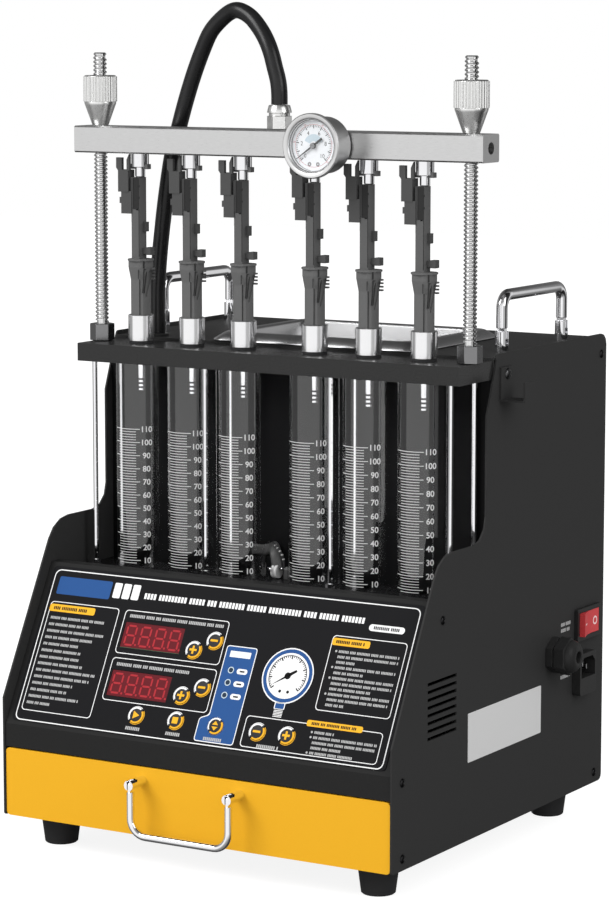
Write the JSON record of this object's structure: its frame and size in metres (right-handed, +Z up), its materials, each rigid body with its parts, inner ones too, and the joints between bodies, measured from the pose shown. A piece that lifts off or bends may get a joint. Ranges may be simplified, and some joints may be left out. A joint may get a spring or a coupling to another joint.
{
  "type": "fuel injector cleaner and tester",
  "caption": "Bench machine that tests and cleans fuel injectors, with measuring tubes, fuel rail, control panel, drawer and ultrasonic tank.",
  "frame": {"origin": "on the floor, under the middle of the machine's bounding box without its fuel hose", "axes": "+X to the right seen from the front, +Y from the front to the back, +Z up"},
  "size_m": [0.3754, 0.3596, 0.6446],
  "materials": {
    "black_paint": "fine textured powder coat",
    "gloss_black": "gloss",
    "yellow_paint": "satin",
    "film": "printed film",
    "key_plastic": "domed film",
    "board": "matte",
    "clear_plastic": "clear",
    "chrome": "bright",
    "steel": "brushed",
    "aluminium": "satin anodised",
    "dark_metal": "oiled",
    "injector_plastic": "moulded",
    "black_plastic": "moulded",
    "rubber": "matte",
    "red_plastic": "gloss",
    "lens": "clear",
    "tank_plastic": "moulded"
  },
  "bodies": {
    "casing": {"side_panel_left": "black_paint", "side_panel_right": "black_paint", "foot_front_left": "rubber", "foot_rear_left": "rubber", "foot_front_right": "rubber", "foot_rear_right": "rubber", "base_tray": "black_paint", "rear_panel": "black_paint", "upper_shell": "black_paint", "ultrasonic_tank": "steel", "ultrasonic_transducer": "aluminium", "console_shell": "black_paint", "control_overlay": "film", "display_board": "board", "tube_seat": "gloss_black", "tube_1": "clear_plastic", "tube_2": "clear_plastic", "tube_3": "clear_plastic", "tube_4": "clear_plastic", "tube_5": "clear_plastic", "tube_6": "clear_plastic", "bench_plate": "black_paint", "injector_1": "injector_plastic", "injector_2": "injector_plastic", "injector_3": "injector_plastic", "injector_4": "injector_plastic", "injector_5": "injector_plastic", "injector_6": "injector_plastic", "stand_rod_left": "dark_metal", "stand_rod_right": "dark_metal", "hose": "rubber", "drain_pipe": "rubber", "switch_bezel": "black_plastic", "power_inlet": "black_plastic", "cable_gland": "black_plastic", "fuel_tank": "tank_plastic", "fuel_pump": "steel", "power_supply": "steel"},
    "drawer": {"drawer_front": "yellow_paint", "drawer_box": "steel"},
    "bail": {"drawer_handle": "chrome"},
    "rail_group": {"rail": "aluminium", "gauge_case": "chrome", "gauge_lens": "lens", "hose_fitting": "steel"},
    "left_nut": {"knurled_nut_left": "aluminium"},
    "right_nut": {"knurled_nut_right": "aluminium"},
    "needle": {"gauge_needle": "red_plastic"},
    "rocker": {"rocker_switch": "red_plastic"},
    "left_handle": {"handle_left": "chrome"},
    "right_handle": {"handle_right": "chrome"},
    "value_up": {"key_value_up": "key_plastic"},
    "value_down": {"key_value_down": "key_plastic"},
    "count_up": {"key_count_up": "key_plastic"},
    "count_down": {"key_count_down": "key_plastic"},
    "start": {"key_start": "key_plastic"},
    "stop": {"key_stop": "key_plastic"},
    "select": {"key_select": "key_plastic"},
    "pressure_down": {"key_pressure_down": "key_plastic"},
    "pressure_up": {"key_pressure_up": "key_plastic"}
  },
  "joints": [
    {"name": "drawer_slide", "type": "slide", "parent": "casing", "child": "drawer", "axis": [0, -1, 0], "range_m": [0, 0.2]},
    {"name": "drawer_handle_swing", "type": "hinge", "parent": "drawer", "child": "bail", "pos_m": [-0.0071, -0.177, 0.067], "axis": [-1, 0, 0], "range_deg": [-5, 95]},
    {"name": "rail_lift", "type": "slide", "parent": "casing", "child": "rail_group", "axis": [0, 0, 1], "range_m": [0, 0.025], "deforming": ["hose"]},
    {"name": "nut_left_spin", "type": "hinge", "parent": "rail_group", "child": "left_nut", "pos_m": [-0.17135, -0.0344, 0.57], "axis": [0, 0, 1], "range_deg": [0, 2858]},
    {"name": "nut_right_spin", "type": "hinge", "parent": "rail_group", "child": "right_nut", "pos_m": [0.15715, -0.0344, 0.57], "axis": [0, 0, 1], "range_deg": [0, 2858]},
    {"name": "gauge_needle_turn", "type": "hinge", "parent": "rail_group", "child": "needle", "pos_m": [0.0429, -0.068, 0.5395], "axis": [0, 1, 0], "range_deg": [0, 270], "stiffness_Nm_per_rad": 0.002},
    {"name": "rocker_tilt", "type": "hinge", "parent": "casing", "child": "rocker", "pos_m": [0.1661, 0.1487, 0.1586], "axis": [0, 0, -1], "range_deg": [0, 14]},
    {"name": "left_handle_fold", "type": "hinge", "parent": "casing", "child": "left_handle", "pos_m": [-0.1606, 0.0865, 0.3924], "axis": [0, -1, 0], "range_deg": [0, 90]},
    {"name": "right_handle_fold", "type": "hinge", "parent": "casing", "child": "right_handle", "pos_m": [0.1464, 0.0865, 0.3924], "axis": [0, 1, 0], "range_deg": [0, 90]},
    {"name": "value_up_press", "type": "slide", "parent": "casing", "child": "value_up", "axis": [0, 0.8806, -0.4738], "range_m": [0, 0.0006], "stiffness_N_per_m": 300},
    {"name": "value_down_press", "type": "slide", "parent": "casing", "child": "value_down", "axis": [0, 0.8806, -0.4738], "range_m": [0, 0.0006], "stiffness_N_per_m": 300},
    {"name": "count_up_press", "type": "slide", "parent": "casing", "child": "count_up", "axis": [0, 0.8806, -0.4738], "range_m": [0, 0.0006], "stiffness_N_per_m": 300},
    {"name": "count_down_press", "type": "slide", "parent": "casing", "child": "count_down", "axis": [0, 0.8806, -0.4738], "range_m": [0, 0.0006], "stiffness_N_per_m": 300},
    {"name": "start_press", "type": "slide", "parent": "casing", "child": "start", "axis": [0, 0.8806, -0.4738], "range_m": [0, 0.0006], "stiffness_N_per_m": 300},
    {"name": "stop_press", "type": "slide", "parent": "casing", "child": "stop", "axis": [0, 0.8806, -0.4738], "range_m": [0, 0.0006], "stiffness_N_per_m": 300},
    {"name": "select_press", "type": "slide", "parent": "casing", "child": "select", "axis": [0, 0.8806, -0.4738], "range_m": [0, 0.0006], "stiffness_N_per_m": 300},
    {"name": "pressure_down_press", "type": "slide", "parent": "casing", "child": "pressure_down", "axis": [0, 0.8806, -0.4738], "range_m": [0, 0.0006], "stiffness_N_per_m": 300},
    {"name": "pressure_up_press", "type": "slide", "parent": "casing", "child": "pressure_up", "axis": [0, 0.8806, -0.4738], "range_m": [0, 0.0006], "stiffness_N_per_m": 300}
  ],
  "couplings": [
    {"joint": "nut_left_spin", "follows": "rail_lift", "rad_per_m": 1994.7},
    {"joint": "nut_right_spin", "follows": "rail_lift", "rad_per_m": 1994.7}
  ]
}
